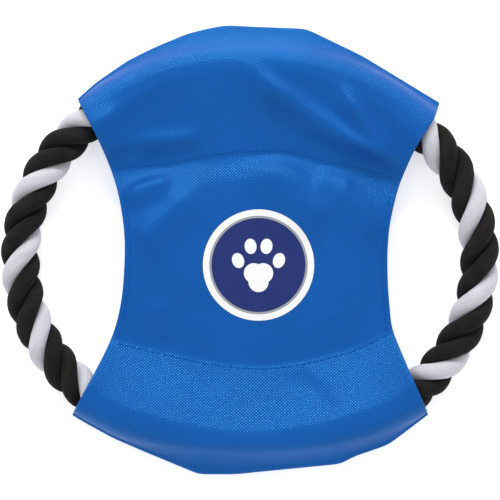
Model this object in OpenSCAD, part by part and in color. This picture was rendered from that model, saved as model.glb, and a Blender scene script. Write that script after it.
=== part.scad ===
// Soft flying ring: a closed loop of three-strand rope with one cloth panel stretched across it.
// Each end of the panel folds over the rope, and is sewn down to make a flat open-ended pocket.
// Frame: +Z up, +X across the rope's free sides, +Y towards the top pocket, and z = 0 the table.

/* [Rope ring] */
// Width of the ring between the rope's centres on its free sides
ring_w = 210.8; // [170:0.2:260]
// Distance from the middle of the ring to the centres of its side arcs, along X
side_in = 28.4; // [20:0.1:36]
// How much larger the top arc's radius is than half of the ring's width
top_flatten = 11.7; // [6:0.1:30]
// How much larger the bottom arc's radius is than half of the ring's width
bottom_flatten = 63.2; // [6:0.1:80]
// Diameter of the rope
rope_d = 18; // [12:0.5:24]
// Length of rope in which a strand goes round once
lay_length = 35.8; // [30:0.1:50]
// Where the white strand stands at the join, in degrees up from the outside of the ring
lay_start = 170; // [0:5:360]
// Clear space between neighbouring strands
strand_gap = 0.2; // [0.1:0.05:0.5]

/* [Rope join] */
// Space between the rope's two cut ends
join_gap = 0.4; // [0.2:0.1:2]
// Length of the tape wound on each cut end
tape_l = 14; // [8:1:24]
// Thickness of the tape
tape_t = 0.12; // [0.1:0.01:0.3]
// Length of the shrink sleeve over the join
sleeve_l = 36; // [30:1:60]
// Thickness of the shrink sleeve
sleeve_t = 0.3; // [0.2:0.05:0.8]
// Space between the rope, its tape and the sleeve
wrap_gap = 0.02; // [0.02:0.01:0.1]

/* [Cloth] */
// Thickness of the cloth
cloth_t = 0.45; // [0.3:0.05:0.8]
// Width of the panel at its waist
waist_w = 119.6; // [96:0.2:146]
// Radius of the panel's two hollow sides
waist_r = 122; // [98:1:160]
// Distance that the panel lies off the ring's middle, along X
cloth_shift = 2.5; // [0:0.1:5]
// Room above and below the rope's sleeve inside a pocket
pocket_gap = 0.25; // [0.2:0.05:1]
// Room for the rope to move in and out of the ring inside a pocket
pocket_slack = 3.2; // [2.8:0.1:4.5]
// Flat double cloth left between a pocket's hollow and the ends of its row of stitches
seam_margin = 1; // [0.5:0.1:2]
// Spare cloth between the rope and the fold, at the middle of a pocket
fold_spare = 9.35; // [7:0.05:12]
// Radius of the top fold's arc
top_fold_r = 116; // [105:1:140]
// Radius of the bottom fold's arc
bottom_fold_r = 130; // [115:1:160]
// Distance from the middle of the ring to the top seam
top_seam_y = 45; // [36:0.5:54]
// Radius of the top seam's arc
top_seam_r = 190; // [150:5:300]
// Distance from the middle of the ring to the bottom seam
bottom_seam_y = 54; // [45:0.5:60]
// Radius of the bottom seam's arc
bottom_seam_r = 133; // [110:1:200]
// Width of the turned hem along each hollow side
hem_w = 5; // [4:0.5:8]

/* [Stitching] */
// Distance from one stitch to the next
stitch_pitch = 3; // [2:0.1:4]
// Length of the thread that shows in one stitch
stitch_l = 2.4; // [1.2:0.1:2.8]
// Diameter of the thread
thread_d = 0.5; // [0.3:0.05:0.7]
// Distance from a seam or a hollow side to its row of stitches
stitch_in = 2.5; // [1.5:0.1:3.5]

/* [Printed badge] */
// Diameter of the badge
badge_d = 51; // [40:1:60]
// Width of its white border
badge_border_w = 3; // [2:0.5:5]
// Width of its grey line
badge_line_w = 1; // [0.5:0.25:2]
// Thickness of the print
print_t = 0.12; // [0.1:0.01:0.3]
// Centre of the badge, on the ring's own axes
badge_pos = [3.9, -6.9]; // [-20:0.1:20]
// Size of the paw, from its heel to its longest toe
paw_l = 26; // [18:1:34]

/* [Hidden] */
$fn = 96;

blue = "#185ab4";
navy = "#1b2f6b";
white = "#e4e2ea";
black = "#1c1c1b";

// The ring's centre line is an egg of four arcs that meet smoothly.
half_w = ring_w / 2;
side_r = half_w - side_in;
top_r = half_w + top_flatten;
bottom_r = half_w + bottom_flatten;
// Where the rope leaves the bottom pocket, in degrees below the side arc's own centre
exit_angle = 47;
// Distances from the level of the side arcs' centres to those of the top and the bottom arc
top_back = sqrt((top_r - side_r) ^ 2 - side_in ^ 2);
bottom_back = sqrt((bottom_r - side_r) ^ 2 - side_in ^ 2);
top_end = atan2(top_back, side_in);
bottom_end = atan2(bottom_back, side_in);
// The ring's top and bottom stand equally far from its middle.
half_h = (top_r - top_back + bottom_r - bottom_back) / 2;
side_y = half_h - (top_r - top_back);
top_y = side_y - top_back;
bottom_y = side_y + bottom_back;
// The bottom pocket's own arc runs through the ring's lowest point and the rope's two exits.
exit_x = side_in + side_r * cos(exit_angle);
exit_rise = half_h + side_y - side_r * sin(exit_angle);
bottom_pocket_r = (exit_x ^ 2 + exit_rise ^ 2) / (2 * exit_rise);
// Each arc: its centre, its radius, and the angles at which it starts and ends.
// They run from the join at the top round by the left side, the bottom and the right side.
ring_arcs = [
    [[0, top_y], top_r, 90, 180 - top_end],
    [[-side_in, side_y], side_r, 180 - top_end, 180 + bottom_end],
    [[0, bottom_y], bottom_r, 180 + bottom_end, 360 - bottom_end],
    [[side_in, side_y], side_r, 360 - bottom_end, 360 + top_end],
    [[0, top_y], top_r, 360 + top_end, 450]
];
function arc_length(a) = a[1] * (a[3] - a[2]) * PI / 180;
function total(list, i = 0) = i == len(list) ? 0 : arc_length(list[i]) + total(list, i + 1);
rope_l = total(ring_arcs);

// Heights
rope_r = rope_d / 2;
tape_r = rope_r + wrap_gap + tape_t;
sleeve_r = tape_r + wrap_gap + sleeve_t;
pocket_r = sleeve_r + pocket_gap;
mid_z = pocket_r + cloth_t;

// Place on the rope's centre line at distance s from the join, with the angle of its outside
function place(s, i = 0) =
    let(a = ring_arcs[i], l = arc_length(a))
    s > l && i < len(ring_arcs) - 1 ? place(s - l, i + 1) :
    let(turn = a[2] + (a[3] - a[2]) * s / l)
    [a[0].x + a[1] * cos(turn), a[0].y + a[1] * sin(turn), turn];

// Distance between the centre lines of neighbouring strands on a helix of radius h,
// taken on the inside of the ring's tightest bend, where the strands crowd together
crowded_lay = lay_length * (1 - rope_r / 2 / side_r);
function strand_spacing(h) =
    min([for (q = [40:2:120]) norm([2 * h * sin(q / 2), crowded_lay * (120 - q) / 360])]);
// Largest strand radius that keeps the gap, found by halving the interval n times
function fitted_strand(low, high, n) =
    let(r = (low + high) / 2)
    n == 0 ? low :
    strand_spacing(rope_r - r) - 2 * r > strand_gap ? fitted_strand(r, high, n - 1) :
    fitted_strand(low, r, n - 1);
strand_r = fitted_strand(0, rope_r / 2, 16);
helix_r = rope_r - strand_r;

// Centre of a strand at distance s from the join: a right-hand lay turns from top to outside
function strand_point(s, start) =
    let(p = place(s), lay = start - 360 * s / lay_length, out = helix_r * cos(lay))
    [p.x + out * cos(p.z), p.y + out * sin(p.z), mid_z + helix_r * sin(lay)];
function unit(v) = v / norm(v);
// Ring of points round a strand, slid along its run into one plane across the rope,
// so that the strand's two ends are cut square to the rope
function strand_ring(s, start) =
    let(p = place(s), c = strand_point(s, start), lay = start - 360 * s / lay_length)
    let(out = [cos(lay) * cos(p.z), cos(lay) * sin(p.z), sin(lay)], axis = [-sin(p.z), cos(p.z), 0])
    let(run = unit(strand_point(s + probe_l, start) - strand_point(s - probe_l, start)))
    let(side = unit(cross(run, out)), up = cross(side, run))
    [for (k = [0:strand_sides - 1])
        let(o = strand_r * (cos(360 * k / strand_sides) * up + sin(360 * k / strand_sides) * side))
        c + o - run * (o * axis) / (run * axis)];

strand_sides = 10;
rings_per_lay = 18;
probe_l = 0.1;
strand_rings = ceil(rope_l / lay_length * rings_per_lay);
strand_step = (rope_l - join_gap) / strand_rings;

module strand(start) {
    n = strand_sides;
    points = [for (i = [0:strand_rings]) each strand_ring(join_gap / 2 + i * strand_step, start)];
    last = strand_rings * n;
    faces = concat(
        [[for (k = [0:n - 1]) k]],
        [for (i = [0:strand_rings - 1]) for (k = [0:n - 1]) each [
            [i * n + k, (i + 1) * n + k, (i + 1) * n + (k + 1) % n],
            [i * n + k, (i + 1) * n + (k + 1) % n, i * n + (k + 1) % n]
        ]],
        [[for (k = [n - 1:-1:0]) last + k]]
    );
    polyhedron(points, faces, convexity = 10);
}

module strand_white() { color(white) strand(lay_start); }
module strand_black_a() { color(black) strand(lay_start + 120); }
module strand_black_b() { color(black) strand(lay_start + 240); }

// A tube bent along the top arc, from one angle past the join to another
module bent_tube(inner_r, outer_r, from, to) {
    translate([0, top_y, mid_z])
        rotate([0, 0, 90 + from])
            rotate_extrude(angle = to - from, $fn = 360)
                translate([top_r, 0])
                    difference() {
                        circle(outer_r);
                        circle(inner_r);
                    }
}

function top_angle(l) = l / top_r * 180 / PI;

module end_tape(from_l, to_l) {
    color("silver") bent_tube(rope_r + wrap_gap, tape_r, top_angle(from_l), top_angle(to_l));
}
module end_tape_left() { end_tape(join_gap / 2, join_gap / 2 + tape_l); }
module end_tape_right() { end_tape(-join_gap / 2 - tape_l, -join_gap / 2); }
module join_sleeve() {
    reach = top_angle(sleeve_l / 2);
    color("dimgray") bent_tube(tape_r + wrap_gap, sleeve_r, -reach, reach);
}

// The cloth's outline: a tall block with its two sides hollowed by arcs
module side_hollow(side, reach) {
    translate([cloth_shift + side * (waist_w / 2 + waist_r), 0])
        circle(waist_r + reach, $fn = 360);
}
module hourglass() {
    difference() {
        translate([cloth_shift, 0]) square([ring_w, 4 * half_h], center = true);
        for (side = [-1, 1]) side_hollow(side, 0);
    }
}
module seam_disc(seam_y, seam_r, up) {
    translate([0, up * (seam_y - seam_r)]) circle(seam_r, $fn = 360);
}
module panel_outline() {
    intersection() {
        hourglass();
        seam_disc(top_seam_at, top_seam_r, 1);
        seam_disc(bottom_seam_at, bottom_seam_r, -1);
    }
}

// One layer between the seams, with a second one turned back along each hollow side
module centre_panel() {
    color(blue) union() {
        translate([0, 0, mid_z]) linear_extrude(cloth_t) panel_outline();
        translate([0, 0, mid_z - cloth_t]) linear_extrude(cloth_t)
            intersection() {
                panel_outline();
                union() for (side = [-1, 1]) side_hollow(side, hem_w);
            }
    }
}

// Cross-section of a pocket about the rope's centre: round over the rope, whatever way it moves,
// and sloping from there to the seam on one side and to the fold on the other.
// w is the thickness of cloth that is added all round, taper how far in the two layers meet.
fold_out = rope_r + fold_spare;
// The slope is aimed at a point this far past the fold, so that the cloth is still open there
fold_slope = fold_out + 6;
function slope_angle(reach) = acos(pocket_r / (reach - pocket_slack));
arc_steps = 8;
function arc_points(x, r, from, to) =
    [for (k = [0:arc_steps])
        let(a = from + (to - from) * k / arc_steps) [x + r * cos(a), r * sin(a)]];
function upper_half(w, taper) = concat(
    [[fold_slope + w, 0]],
    arc_points(pocket_slack, pocket_r + w, slope_angle(fold_slope), 90),
    arc_points(-pocket_slack, pocket_r + w, 90, 180 - slope_angle(taper)),
    [[-taper - w * tan(45 - slope_angle(taper) / 2), w]]
);
function mirrored(list) = [for (i = [len(list) - 1:-1:1]) [list[i].x, -list[i].y]];
function pocket_section(w, taper) =
    concat(upper_half(w, taper), mirrored(upper_half(w, taper)));

// Half of the panel's width at height y
function panel_reach(y) = waist_w / 2 + waist_r - sqrt(waist_r ^ 2 - y ^ 2);
// Height at which a seam's arc reaches x, and how far inside the rope's centre its end lies there
function seam_height(seam_y, seam_r, x) = seam_y - seam_r + sqrt(seam_r ^ 2 - x ^ 2);
function seam_depth(arc_r, seam_y, seam_r) =
    let(x = panel_reach(seam_y) + cloth_shift)
    arc_r - norm([x, seam_height(seam_y, seam_r, x) - (half_h - arc_r)]);

// A seam lies no nearer the rope than lets its pocket close: where its height asks for less room
// at its ends than this, it is set lower.
least_depth = pocket_r + pocket_slack + stitch_in + seam_margin + 1;
function seam_place(arc_r, seam_y, seam_r) =
    seam_depth(arc_r, seam_y, seam_r) >= least_depth || seam_y < 10
        ? seam_y
        : seam_place(arc_r, seam_y - 0.5, seam_r);
top_seam_at = seam_place(top_r, top_seam_y, top_seam_r);
bottom_seam_at = seam_place(bottom_pocket_r, bottom_seam_y, bottom_seam_r);

// Sweeps a section along a pocket's arc, past both of the pocket's open ends
pocket_sweep = 62;
module pocket_tube(arc_r, up, w, taper) {
    translate([0, up * (half_h - arc_r), mid_z])
        rotate([0, 0, up * 90 - pocket_sweep])
            rotate_extrude(angle = 2 * pocket_sweep, $fn = 360)
                translate([arc_r, 0]) polygon(pocket_section(w, taper));
}
module fold_disc(fold_r, up, inset) {
    translate([0, up * (half_h + fold_out - fold_r)]) circle(fold_r - inset, $fn = 360);
}

// A pocket: the swept tube and the flat double layer from it to the seam, less the room for the rope
module pocket(arc_r, up, fold_r, seam_y, seam_r) {
    taper = seam_depth(arc_r, seam_y, seam_r) - stitch_in - seam_margin;
    color(blue) difference() {
        union() {
            intersection() {
                pocket_tube(arc_r, up, cloth_t, taper);
                linear_extrude(2 * mid_z) pocket_outline(up, fold_r);
            }
            translate([0, 0, mid_z - cloth_t]) linear_extrude(2 * cloth_t) difference() {
                pocket_outline(up, fold_r);
                seam_disc(seam_y, seam_r, up);
            }
        }
        intersection() {
            pocket_tube(arc_r, up, 0, taper);
            linear_extrude(2 * mid_z) fold_disc(fold_r, up, cloth_t);
        }
    }
}
module pocket_outline(up, fold_r) {
    intersection() {
        hourglass();
        fold_disc(fold_r, up, 0);
        translate([0, up * half_h]) square([2 * ring_w, 2 * half_h], center = true);
    }
}
module top_pocket() { pocket(top_r, 1, top_fold_r, top_seam_at, top_seam_r); }
module bottom_pocket() { pocket(bottom_pocket_r, -1, bottom_fold_r, bottom_seam_at, bottom_seam_r); }

// A row of stitches along an arc, each a short straight run of thread
module stitches(centre, r, from, to, z) {
    count = floor((to - from) * PI / 180 * r / stitch_pitch);
    step = (to - from) / count;
    for (i = [0:count - 1])
        translate([centre.x, centre.y, z])
            rotate([0, 0, from + (i + 0.5) * step])
                translate([r, 0, 0])
                    rotate([90, 0, 0])
                        cylinder(h = stitch_l, d = thread_d, center = true, $fn = 16);
}

// Stitches lie on the cloth with this much air under them
thread_lift = thread_d / 2 + 0.02;
needle_z = mid_z + cloth_t + thread_lift;
bobbin_z = mid_z - cloth_t - thread_lift;

module seam_row(r, y, up, z) {
    row_r = r + stitch_in;
    half = asin((panel_reach(y) - hem_w) / row_r);
    shift = asin(cloth_shift / row_r);
    middle = up * 90 - up * shift;
    color(blue) stitches([0, up * (y - r)], row_r, middle - half, middle + half, z);
}
module top_seam_needle_thread() { seam_row(top_seam_r, top_seam_at, 1, needle_z); }
module top_seam_bobbin_thread() { seam_row(top_seam_r, top_seam_at, 1, bobbin_z); }
module bottom_seam_needle_thread() { seam_row(bottom_seam_r, bottom_seam_at, -1, needle_z); }
module bottom_seam_bobbin_thread() { seam_row(bottom_seam_r, bottom_seam_at, -1, bobbin_z); }

// Angles, seen from a hollow side's centre, at which its row of stitches meets the two seams
function seam_end(seam_y, seam_r) = seam_height(seam_y, seam_r, panel_reach(seam_y));
hem_up = asin(seam_end(top_seam_at, top_seam_r) / waist_r);
hem_down = asin(seam_end(bottom_seam_at, bottom_seam_r) / waist_r);
module hem_row(side, z) {
    centre = [cloth_shift + side * (waist_w / 2 + waist_r), 0];
    from = side < 0 ? -hem_down : 180 - hem_up;
    to = side < 0 ? hem_up : 180 + hem_down;
    color(blue) stitches(centre, waist_r + stitch_in, from, to, z);
}
module left_hem_needle_thread() { hem_row(-1, needle_z); }
module left_hem_bobbin_thread() { hem_row(-1, bobbin_z); }
module right_hem_needle_thread() { hem_row(1, needle_z); }
module right_hem_bobbin_thread() { hem_row(1, bobbin_z); }

// The badge: rings and a disc of print, side by side on the panel's face, with a paw let into it
module badge_layer() {
    translate([badge_pos.x, badge_pos.y, mid_z + cloth_t]) linear_extrude(print_t) children();
}
module badge_ring(outer_r, width) {
    badge_layer() difference() {
        circle(outer_r);
        circle(outer_r - width);
    }
}
badge_r = badge_d / 2;
line_r = badge_r - badge_border_w;
field_r = line_r - badge_line_w;

// The paw, in shares of its length: its toes' places and radius, and its three-lobed pad
toe_places = [[-0.36, 0.08], [-0.14, 0.33], [0.14, 0.33], [0.36, 0.08]];
toe_share = 0.12;
pad_drop = 0.2;
lobe_out = 0.1;
lobe_share = 0.176;
module paw() {
    for (toe = toe_places) translate(paw_l * toe) circle(paw_l * toe_share);
    for (turn = [-90, 35, 145])
        translate([0, -paw_l * pad_drop]) rotate(turn)
            translate([paw_l * lobe_out, 0]) circle(paw_l * lobe_share);
}

module badge_border() { color(white) badge_ring(badge_r, badge_border_w); }
module badge_line() { color("gray") badge_ring(line_r, badge_line_w); }
module badge_field() {
    color(navy) badge_layer() difference() {
        circle(field_r);
        paw();
    }
}
module badge_paw() { color(white) badge_layer() paw(); }

strand_white();
strand_black_a();
strand_black_b();
end_tape_left();
end_tape_right();
join_sleeve();
centre_panel();
top_pocket();
bottom_pocket();
top_seam_needle_thread();
top_seam_bobbin_thread();
bottom_seam_needle_thread();
bottom_seam_bobbin_thread();
left_hem_needle_thread();
left_hem_bobbin_thread();
right_hem_needle_thread();
right_hem_bobbin_thread();
badge_border();
badge_line();
badge_field();
badge_paw();
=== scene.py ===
"""Looks of a soft flying ring: a ring of three-strand cotton rope, and one hemmed sheet of nylon
oxford cloth that is stretched across it, folded over it at both ends and sewn down."""

import math

import bmesh
import bpy
import numpy as np
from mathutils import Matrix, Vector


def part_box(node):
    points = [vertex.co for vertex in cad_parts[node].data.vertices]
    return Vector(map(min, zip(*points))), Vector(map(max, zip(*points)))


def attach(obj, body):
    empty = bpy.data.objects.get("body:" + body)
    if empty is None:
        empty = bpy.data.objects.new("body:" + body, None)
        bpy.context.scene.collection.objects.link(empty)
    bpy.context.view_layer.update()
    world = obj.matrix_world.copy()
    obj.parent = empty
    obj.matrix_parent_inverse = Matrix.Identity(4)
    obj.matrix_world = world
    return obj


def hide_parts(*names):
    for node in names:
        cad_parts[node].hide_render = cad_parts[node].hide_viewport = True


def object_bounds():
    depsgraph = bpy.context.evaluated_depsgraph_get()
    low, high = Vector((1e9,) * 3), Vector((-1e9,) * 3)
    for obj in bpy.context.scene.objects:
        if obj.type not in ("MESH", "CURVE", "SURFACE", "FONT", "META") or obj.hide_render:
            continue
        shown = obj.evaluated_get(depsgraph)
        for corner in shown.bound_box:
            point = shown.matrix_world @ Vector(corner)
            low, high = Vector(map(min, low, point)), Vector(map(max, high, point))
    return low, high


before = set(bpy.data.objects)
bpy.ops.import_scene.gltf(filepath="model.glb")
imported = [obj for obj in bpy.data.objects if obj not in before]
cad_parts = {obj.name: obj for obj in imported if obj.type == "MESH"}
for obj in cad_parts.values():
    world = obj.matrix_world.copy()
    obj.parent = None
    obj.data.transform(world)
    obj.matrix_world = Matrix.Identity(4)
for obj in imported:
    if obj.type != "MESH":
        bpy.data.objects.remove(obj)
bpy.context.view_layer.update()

MM = 0.001

# ---------------------------------------------------------------- the rope's centre line, in mm

HALF_WIDTH = 105.4
SIDE_IN = 28.4
TOP_RADIUS = 117.1
BOTTOM_RADIUS = 168.6
LAY_START = math.radians(170)
JOIN_GAP = 0.4

sleeve_low, sleeve_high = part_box("join_sleeve")
MID_Z = (sleeve_low[2] + sleeve_high[2]) / 2 / MM
SIDE_RADIUS = HALF_WIDTH - SIDE_IN
TOP_BACK = math.sqrt((TOP_RADIUS - SIDE_RADIUS) ** 2 - SIDE_IN**2)
BOTTOM_BACK = math.sqrt((BOTTOM_RADIUS - SIDE_RADIUS) ** 2 - SIDE_IN**2)
HALF_HEIGHT = (TOP_RADIUS - TOP_BACK + BOTTOM_RADIUS - BOTTOM_BACK) / 2
SIDE_Y = HALF_HEIGHT - (TOP_RADIUS - TOP_BACK)
TOP_TURN = math.atan2(TOP_BACK, SIDE_IN)
BOTTOM_TURN = math.atan2(BOTTOM_BACK, SIDE_IN)
# Each arc: its centre, radius, and first and last angle, counter-clockwise from the join
ARCS = [
    (0, SIDE_Y - TOP_BACK, TOP_RADIUS, math.pi / 2, math.pi - TOP_TURN),
    (-SIDE_IN, SIDE_Y, SIDE_RADIUS, math.pi - TOP_TURN, math.pi + BOTTOM_TURN),
    (0, SIDE_Y + BOTTOM_BACK, BOTTOM_RADIUS, math.pi + BOTTOM_TURN, 2 * math.pi - BOTTOM_TURN),
    (SIDE_IN, SIDE_Y, SIDE_RADIUS, 2 * math.pi - BOTTOM_TURN, 2 * math.pi + TOP_TURN),
    (0, SIDE_Y - TOP_BACK, TOP_RADIUS, 2 * math.pi + TOP_TURN, 2.5 * math.pi),
]


def rope_line(count):
    """Points along the rope's centre line, evenly spaced, from one cut end to the other."""
    lengths = [r * (end - start) for _, _, r, start, end in ARCS]
    edges = np.concatenate([[0], np.cumsum(lengths)])
    s = np.linspace(JOIN_GAP / 2, edges[-1] - JOIN_GAP / 2, count)
    points = np.zeros((count, 3))
    for (cx, cy, r, start, _), low, high in zip(ARCS, edges[:-1], edges[1:]):
        here = (s >= low) & (s <= high)
        turn = start + (s[here] - low) / r
        points[here] = np.stack(
            [cx + r * np.cos(turn), cy + r * np.sin(turn), np.full(here.sum(), MID_Z)], axis=1
        )
    return points


# A rope bent to an egg opens its lay on the two free sides and closes it in the pockets:
# distance from the join in mm, and how often a strand has gone round by there.
LAY_OPENING = [
    (0, 0.15), (114, 3.19), (151.5, 4.18), (189, 5.19), (292, 8.16),
    (396, 11.24), (434.5, 12.23), (473.5, 13.22), (511.5, 14.17), (604.7, 16.73),
]


def rope_distance(x, y):
    """How far a place in plan lies outside the rope's centre line; less than zero inside."""
    best = np.full(np.shape(x), 1e6)
    for cx, cy, r, start, end in ARCS:
        turn = np.arctan2(y - cy, x - cx)
        turn = start + np.mod(turn - start, 2 * np.pi)
        d = np.hypot(x - cx, y - cy) - r
        best = np.where((turn <= end + 1e-9) & (np.abs(d) < np.abs(best)), d, best)
    return best


# ---------------------------------------------------------------- small makers


def linear(code, alpha=1.0):
    """An sRGB hex colour as linear values."""
    parts = [int(code[i : i + 2], 16) / 255 for i in (1, 3, 5)]
    return [p / 12.92 if p <= 0.04045 else ((p + 0.055) / 1.055) ** 2.4 for p in parts] + [alpha]


def put(tree, kind, sockets=None, **settings):
    """Adds one node with its settings, and sets or links its inputs."""
    new = tree.nodes.new(kind)
    for name, value in settings.items():
        setattr(new, name, value)
    for key, value in (sockets or {}).items():
        if isinstance(value, bpy.types.NodeSocket):
            tree.links.new(value, new.inputs[key])
        else:
            new.inputs[key].default_value = value
    return new


def make_mesh(name, points, faces, material, uvs=None, smooth=True):
    """A mesh object from points in mm, with one UV pair in metres for each corner."""
    mesh = bpy.data.meshes.new(name)
    mesh.from_pydata((np.asarray(points) * MM).tolist(), [], faces)
    if uvs is not None:
        layer = mesh.uv_layers.new(name="cloth_uv")
        corner_vertices = np.zeros(len(mesh.loops), np.int32)
        mesh.loops.foreach_get("vertex_index", corner_vertices)
        layer.data.foreach_set("uv", (np.asarray(uvs)[corner_vertices] * MM).ravel())
    mesh.materials.append(material)
    mesh.polygons.foreach_set("use_smooth", [smooth] * len(mesh.polygons))
    mesh.update()
    piece = bpy.data.objects.new(name, mesh)
    bpy.context.scene.collection.objects.link(piece)
    return piece


def eased(points, count=601, soften=7.0):
    """An even run of plan points through the given ones, with the corners between them eased."""
    points = np.asarray(points, float)
    steps = np.concatenate([[0], np.cumsum(np.hypot(*np.diff(points, axis=0).T))])
    at = np.linspace(0, steps[-1], count)
    line = np.stack([np.interp(at, steps, points[:, i]) for i in (0, 1)], axis=1)
    reach = max(1, int(soften / (at[1] - at[0]) / 2))
    for _ in range(2):
        padded = np.concatenate([
            2 * line[0] - line[reach:0:-1], line, 2 * line[-1] - line[-2 : -reach - 2 : -1]
        ])
        kernel = np.ones(2 * reach + 1) / (2 * reach + 1)
        line = np.stack([np.convolve(padded[:, i], kernel, "valid") for i in (0, 1)], axis=1)
    return line


def along(line, t):
    """Points at shares t of a run of points."""
    at = np.linspace(0, 1, len(line))
    return np.stack([np.interp(t, at, line[:, i]) for i in range(line.shape[1])], axis=-1)


def smooth_step(x):
    x = np.clip(x, 0, 1)
    return x * x * (3 - 2 * x)


# ---------------------------------------------------------------- materials


def finish_material(name, build):
    """A new material whose nodes are added by build(tree, shader)."""
    material = bpy.data.materials.new(name)
    material.use_nodes = True
    tree = material.node_tree
    build(tree, tree.nodes["Principled BSDF"])
    return material


# Plain-woven nylon oxford, 600 denier, piece-dyed blue with a sealed back. The thick flat yarns
# cross every 0.72 mm, and each crown catches a light of its own wherever the cloth leans to it.
YARN = 0.72


def oxford(base, painted_glint_blue, deep):
    def build(tree, shader):
        place = put(tree, "ShaderNodeUVMap", uv_map="cloth_uv").outputs[0]
        split = put(tree, "ShaderNodeSeparateXYZ", {0: place})
        # Yarns wander a little from their lines.
        wander = put(tree, "ShaderNodeTexNoise", {"Vector": place, "Scale": 90.0, "Detail": 2.0})
        bend = put(tree, "ShaderNodeMath", {0: wander.outputs[0], 1: 0.0006}, operation="MULTIPLY")
        waves = []
        for axis in (0, 1):
            moved = put(tree, "ShaderNodeMath", {0: split.outputs[axis], 1: bend.outputs[0]})
            turn = put(
                tree,
                "ShaderNodeMath",
                {0: moved.outputs[0], 1: math.pi / (YARN * MM)},
                operation="MULTIPLY",
            )
            waves.append(put(tree, "ShaderNodeMath", {0: turn.outputs[0]}, operation="SINE"))
        crossing = put(
            tree,
            "ShaderNodeMath",
            {0: waves[0].outputs[0], 1: waves[1].outputs[0]},
            operation="MULTIPLY",
        )
        # Warp crowns stand where the product is high, weft crowns where it is low.
        height = put(tree, "ShaderNodeMath", {0: crossing.outputs[0]}, operation="ABSOLUTE")
        warp_glint_mask = put(
            tree,
            "ShaderNodeMapRange",
            {"Value": crossing.outputs[0], "From Min": -0.8, "From Max": 0.8},
        )
        cloud = put(
            tree, "ShaderNodeTexNoise", {"Vector": place, "Scale": 26.0, "Detail": 3.0}
        )
        slub = put(
            tree, "ShaderNodeTexNoise", {"Vector": place, "Scale": 700.0, "Detail": 2.0}
        )
        # Painted highlight: the warp floats get a lighter blue than the weft floats, standing in
        # for the glints of light on the yarn crowns.
        tone = put(
            tree,
            "ShaderNodeMix",
            {0: warp_glint_mask.outputs[0], 6: linear(base), 7: linear(painted_glint_blue)},
            data_type="RGBA",
        )
        shade = put(
            tree,
            "ShaderNodeMapRange",
            {"Value": cloud.outputs[0], "From Min": 0.35, "From Max": 0.7, "To Max": 0.3},
        )
        dyed = put(
            tree,
            "ShaderNodeMix",
            {0: shade.outputs[0], 6: tone.outputs[2], 7: linear(deep)},
            data_type="RGBA",
        )
        # Painted shade and highlight: the gaps between the yarns are darkened and the yarn tops
        # lightened a little
        gap = put(
            tree,
            "ShaderNodeMapRange",
            {"Value": height.outputs[0], "From Max": 0.45, "To Min": 0.62, "To Max": 1.06},
        )
        final = put(
            tree,
            "ShaderNodeMix",
            {0: 1.0, 6: dyed.outputs[2], 7: gap.outputs[0]},
            data_type="RGBA",
            blend_type="MULTIPLY",
        )
        tree.links.new(final.outputs[2], shader.inputs["Base Color"])
        relief = put(
            tree,
            "ShaderNodeMath",
            {0: crossing.outputs[0], 1: slub.outputs[0]},
            operation="ADD",
        )
        bump = put(
            tree,
            "ShaderNodeBump",
            {"Strength": 1.0, "Distance": 0.000075, "Height": relief.outputs[0]},
        )
        tree.links.new(bump.outputs[0], shader.inputs["Normal"])
        # The floats of one set of yarns lie smooth and shine. The other set is crimped and matt.
        gloss = put(
            tree,
            "ShaderNodeMapRange",
            {
                "Value": crossing.outputs[0],
                "From Min": -0.2,
                "From Max": 0.3,
                "To Min": 0.6,
                "To Max": 0.2,
            },
        )
        tree.links.new(gloss.outputs[0], shader.inputs["Roughness"])
        shader.inputs["IOR"].default_value = 1.53
        shader.inputs["Specular IOR Level"].default_value = 1.0
        # Gloss comes from inside the dyed yarns, so it is tinted too.
        shader.inputs["Specular Tint"].default_value = linear("#50c4f0")

    return build


# The second colour is the painted highlight on the warp floats; the first is the cloth's own blue.
cloth_finish = finish_material("nylon_oxford_woven_blue", oxford("#053488", "#1662c8", "#063480"))


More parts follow.
